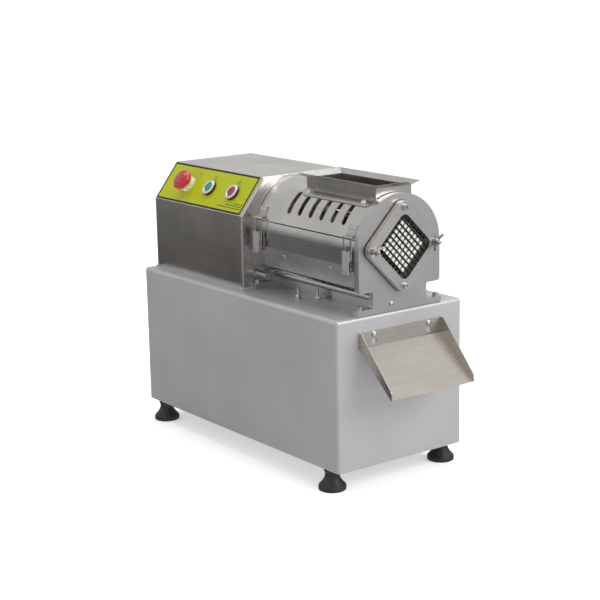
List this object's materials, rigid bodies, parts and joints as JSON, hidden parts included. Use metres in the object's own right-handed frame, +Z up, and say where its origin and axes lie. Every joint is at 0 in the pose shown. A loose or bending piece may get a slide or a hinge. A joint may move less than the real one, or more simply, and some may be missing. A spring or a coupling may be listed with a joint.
{
  "type": "vegetable dicer",
  "caption": "Countertop electric vegetable dicer: box base on rubber feet, drive housing with switch panel, hinged barrel with hopper, pusher, square knife grid and chute.",
  "frame": {"origin": "middle of the footprint, on the floor under the feet", "axes": "+X along the machine towards the knife and chute, -Y the side with the switch panel and latches, +Z up"},
  "size_m": [0.699, 0.293, 0.514],
  "materials": {
    "base_paint": "satin silver-grey",
    "stainless": "brushed",
    "plate_steel": "fine satin",
    "blade_steel": "ground",
    "fastener_steel": "plain zinc-bright",
    "bronze": "machined",
    "machine_grey": "hammered enamel",
    "foot_rubber": "matt",
    "belt_rubber": "matt",
    "overlay_green": "satin film",
    "red_plastic": "gloss",
    "green_plastic": "gloss",
    "ivory_plastic": "satin",
    "black_plastic": "matt",
    "nylon": "matt"
  },
  "bodies": {
    "base": {"base_shell": "base_paint", "deck_plate": "stainless", "base_floor_pan": "stainless", "rubber_feet": "foot_rubber", "foot_bolts": "fastener_steel", "deck_bolts": "fastener_steel", "housing_shell": "stainless", "housing_rear_cover": "stainless", "pan_head_screws": "fastener_steel", "panel_overlay": "overlay_green", "estop_collar": "ivory_plastic", "button_bezels": "fastener_steel", "switch_blocks": "black_plastic", "rear_end_plate": "plate_steel", "front_end_plate": "plate_steel", "tie_rods": "fastener_steel", "bed_channel": "stainless", "side_shells": "stainless", "knife_studs": "fastener_steel", "feed_trough": "stainless", "guide_bush": "bronze", "gearbox_case": "machine_grey", "drive_belt": "belt_rubber", "motor": "machine_grey", "latch_bases": "stainless", "hinge_fixed_leaf": "stainless", "hinge_pin": "fastener_steel", "cover_sensor": "fastener_steel", "cable_gland": "black_plastic", "contactor": "black_plastic"},
    "motor_rotor": {"motor_shaft": "blade_steel", "motor_pulley": "machine_grey"},
    "worm": {"worm_shaft": "blade_steel", "input_pulley": "machine_grey"},
    "crank": {"output_shaft": "blade_steel", "crank_arm": "blade_steel"},
    "pusher": {"push_rod": "plate_steel", "pusher_head": "nylon", "crosshead": "plate_steel"},
    "connecting_rod": {"connecting_rod": "blade_steel"},
    "cover": {"barrel_cover": "stainless", "hopper": "stainless", "hopper_bolts": "fastener_steel", "latch_keepers": "stainless", "hinge_cover_leaf": "stainless"},
    "latch_lever_rear": {"latch_lever_rear": "stainless"},
    "latch_lever_front": {"latch_lever_front": "stainless"},
    "latch_bail_rear": {"latch_bail_rear": "stainless"},
    "latch_bail_front": {"latch_bail_front": "stainless"},
    "knife": {"knife_frame": "plate_steel", "knife_blades": "blade_steel", "knife_screws": "fastener_steel"},
    "wing_nut_near": {"wing_nut_near": "fastener_steel"},
    "wing_nut_far": {"wing_nut_far": "fastener_steel"},
    "chute": {"chute": "stainless"},
    "estop_stem": {"estop_stem": "black_plastic"},
    "estop_mushroom": {"estop_mushroom": "red_plastic"},
    "start_button": {"start_button": "green_plastic"},
    "stop_button": {"stop_button": "red_plastic"}
  },
  "joints": [
    {"name": "motor_spin", "type": "hinge", "parent": "base", "child": "motor_rotor", "pos_m": [0.0965, 0, 0.2155], "axis": [0, 1, 0], "continuous": true},
    {"name": "worm_spin", "type": "hinge", "parent": "base", "child": "worm", "pos_m": [-0.1765, 0, 0.2155], "axis": [0, 1, 0], "continuous": true},
    {"name": "crank_spin", "type": "hinge", "parent": "base", "child": "crank", "pos_m": [-0.2265, 0, 0.3], "axis": [0, 0, 1], "continuous": true},
    {"name": "pusher_stroke", "type": "slide", "parent": "base", "child": "pusher", "axis": [1, 0, 0], "range_m": [-0.144, 0]},
    {"name": "rod_swing", "type": "hinge", "parent": "pusher", "child": "connecting_rod", "pos_m": [-0.0605, 0, 0.409], "axis": [0, 0, 1], "range_deg": [-49.99, 49.99]},
    {"name": "cover_open", "type": "hinge", "parent": "base", "child": "cover", "pos_m": [0.1135, 0.0915, 0.42551], "axis": [-1, 0, 0], "range_deg": [0, 105]},
    {"name": "latch_lever_rear_swing", "type": "hinge", "parent": "base", "child": "latch_lever_rear", "pos_m": [-0.0135, -0.0925, 0.405], "axis": [-1, 0, 0], "range_deg": [0, 85]},
    {"name": "latch_bail_rear_swing", "type": "hinge", "parent": "latch_lever_rear", "child": "latch_bail_rear", "pos_m": [-0.0135, -0.0925, 0.396], "axis": [-1, 0, 0], "range_deg": [-97, 0]},
    {"name": "latch_lever_front_swing", "type": "hinge", "parent": "base", "child": "latch_lever_front", "pos_m": [0.2405, -0.0925, 0.405], "axis": [-1, 0, 0], "range_deg": [0, 85]},
    {"name": "latch_bail_front_swing", "type": "hinge", "parent": "latch_lever_front", "child": "latch_bail_front", "pos_m": [0.2405, -0.0925, 0.396], "axis": [-1, 0, 0], "range_deg": [-97, 0]},
    {"name": "knife_off", "type": "slide", "parent": "base", "child": "knife", "axis": [1, 0, 0], "range_m": [0, 0.04]},
    {"name": "wing_nut_near_turn", "type": "hinge", "parent": "knife", "child": "wing_nut_near", "pos_m": [0.2775, -0.0665, 0.409], "axis": [1, 0, 0], "continuous": true},
    {"name": "wing_nut_far_turn", "type": "hinge", "parent": "knife", "child": "wing_nut_far", "pos_m": [0.2775, 0.0665, 0.409], "axis": [1, 0, 0], "continuous": true},
    {"name": "chute_lift", "type": "slide", "parent": "base", "child": "chute", "axis": [0, 0, 1], "range_m": [0, 0.011]},
    {"name": "estop_push", "type": "slide", "parent": "base", "child": "estop_stem", "axis": [0, 0.7862, -0.618], "range_m": [0, 0.004]},
    {"name": "estop_twist", "type": "hinge", "parent": "estop_stem", "child": "estop_mushroom", "pos_m": [-0.2411, -0.08828, 0.46445], "axis": [0, -0.7862, 0.618], "range_deg": [0, 45], "stiffness_Nm_per_rad": 0.02},
    {"name": "start_push", "type": "slide", "parent": "base", "child": "start_button", "axis": [0, 0.7862, -0.618], "range_m": [0, 0.003], "stiffness_N_per_m": 400},
    {"name": "stop_push", "type": "slide", "parent": "base", "child": "stop_button", "axis": [0, 0.7862, -0.618], "range_m": [0, 0.003], "stiffness_N_per_m": 400}
  ],
  "couplings": [
    {"joint": "worm_spin", "follows": "motor_spin", "ratio": 0.34824},
    {"joint": "crank_spin", "follows": "motor_spin", "ratio": 0.017412},
    {"joint": "latch_bail_rear_swing", "follows": "latch_lever_rear_swing", "ratio": -1.12},
    {"joint": "latch_bail_front_swing", "follows": "latch_lever_front_swing", "ratio": -1.12}
  ]
}
